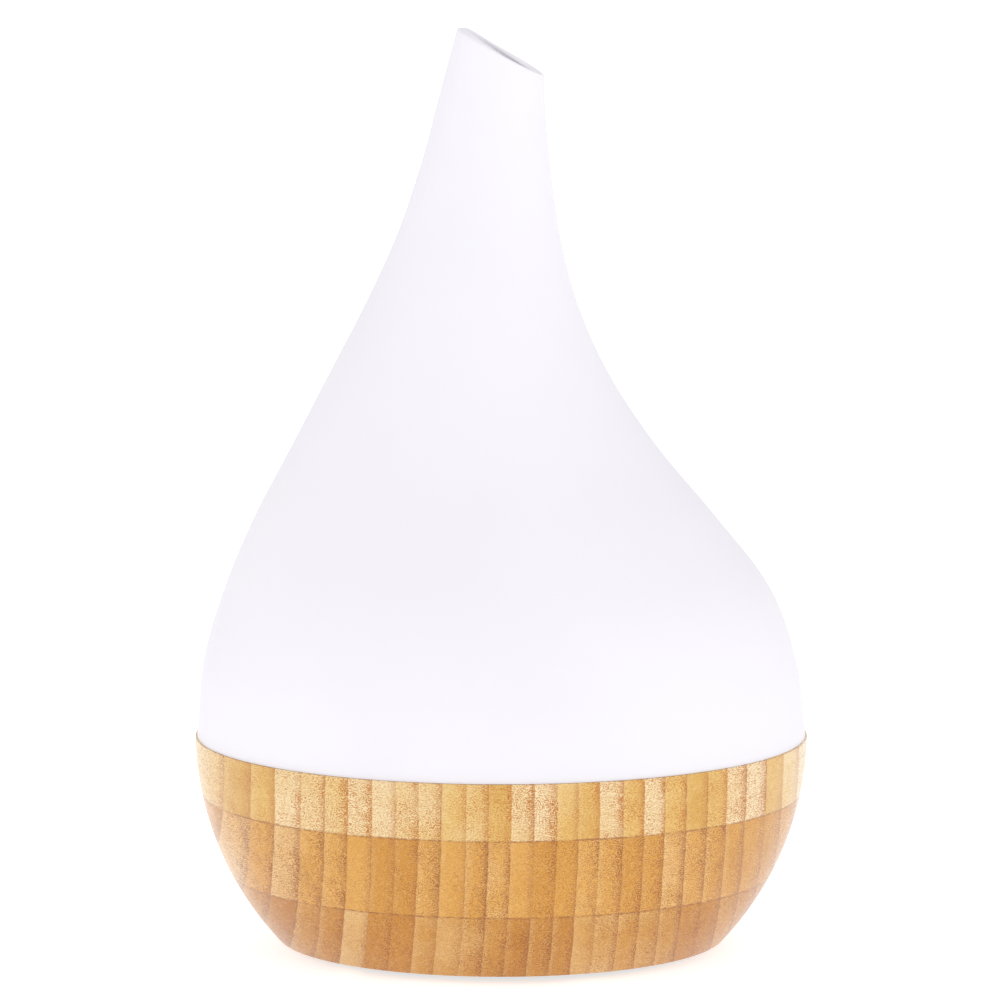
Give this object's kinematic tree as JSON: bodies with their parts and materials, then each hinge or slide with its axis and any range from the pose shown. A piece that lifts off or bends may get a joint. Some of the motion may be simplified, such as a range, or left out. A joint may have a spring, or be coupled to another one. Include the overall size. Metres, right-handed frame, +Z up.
{
  "type": "cool mist humidifier",
  "caption": "Ultrasonic cool mist humidifier: a white teardrop cover with a slanted spout on a turned bamboo bowl.",
  "frame": {"origin": "centre of the plane that the four feet stand on, under the bowl's axis", "axes": "+Z up along the bowl's axis, +Y to the back where the socket and the buttons are, +X to the viewer's right; the spout leans in the X-Z plane"},
  "size_m": [0.145, 0.145, 0.2182],
  "materials": {
    "cover_white": "fine matte white moulding",
    "milky_plastic": "milky translucent polypropylene",
    "white_plastic": "satin white moulding",
    "black_plastic": "black moulding",
    "bamboo": "laminated bamboo, clear satin lacquer",
    "silicone": "translucent white silicone",
    "rubber": "dark grey rubber",
    "steel": "zinc-plated steel",
    "nickel_plate": "nickel-plated brass",
    "bronze": "sintered bronze",
    "copper_winding": "enamelled copper wire",
    "aluminium": "extruded aluminium",
    "ferrite": "dark grey ferrite",
    "ceramic_disc": "silvered ceramic with a glass coat",
    "green_board": "green solder mask",
    "white_board": "white solder mask",
    "led_resin": "phosphor resin",
    "cream_nylon": "natural nylon",
    "capacitor_sleeve": "dark blue shrink sleeve",
    "wire_black": "black PVC",
    "wire_red": "red PVC",
    "wire_white": "white PVC"
  },
  "bodies": {
    "base": {"bamboo_bowl": "bamboo", "water_tank": "milky_plastic", "tank_seal": "rubber", "transducer_disc": "ceramic_disc", "transducer_seal": "silicone", "transducer_retainer": "white_plastic", "transducer_screws": "steel", "led_board": "white_board", "led_chips": "led_resin", "led_screws": "steel", "main_board": "green_board", "board_screws": "steel", "controller_chip": "black_plastic", "inductor": "ferrite", "capacitors": "capacitor_sleeve", "power_transistor": "black_plastic", "heat_sink": "aluminium", "wire_headers": "cream_nylon", "fan_frame": "black_plastic", "fan_bearing": "bronze", "fan_stator": "copper_winding", "fan_duct": "white_plastic", "fan_screws": "steel", "base_plate": "black_plastic", "base_screws": "steel", "foot_1": "rubber", "foot_2": "rubber", "foot_3": "rubber", "foot_4": "rubber", "dc_jack": "black_plastic", "dc_pin": "nickel_plate", "dc_bezel": "black_plastic", "button_board": "green_board", "button_switches": "steel", "button_screws": "steel", "fan_lead": "wire_black", "transducer_lead": "wire_red", "led_lead": "wire_white", "power_lead": "wire_black", "button_lead": "wire_white"},
    "cover_seat": {"cover_seat_ring": "silicone"},
    "cover": {"cover": "cover_white"},
    "mist_guide": {"mist_guide": "milky_plastic"},
    "fan_rotor": {"fan_rotor": "black_plastic", "fan_shaft": "steel", "fan_magnet": "ferrite"},
    "mist_button": {"mist_button": "white_plastic", "mist_plunger": "black_plastic"},
    "light_button": {"light_button": "white_plastic", "light_plunger": "black_plastic"}
  },
  "joints": [
    {"name": "cover_turn", "type": "hinge", "parent": "base", "child": "cover_seat", "pos_m": [0, 0, 0.0506], "axis": [0, 0, 1], "continuous": true},
    {"name": "cover_lift", "type": "slide", "parent": "cover_seat", "child": "cover", "axis": [0, 0, 1], "range_m": [0, 0.06]},
    {"name": "mist_guide_lift", "type": "slide", "parent": "base", "child": "mist_guide", "axis": [0, 0, 1], "range_m": [0, 0.014]},
    {"name": "fan_spin", "type": "hinge", "parent": "base", "child": "fan_rotor", "pos_m": [-0.026, 0, 0.009], "axis": [0, 0, 1], "continuous": true},
    {"name": "mist_button_press", "type": "slide", "parent": "base", "child": "mist_button", "axis": [0, -1, 0], "range_m": [0, 0.0005], "stiffness_N_per_m": 400},
    {"name": "light_button_press", "type": "slide", "parent": "base", "child": "light_button", "axis": [0, -1, 0], "range_m": [0, 0.0005], "stiffness_N_per_m": 400}
  ]
}
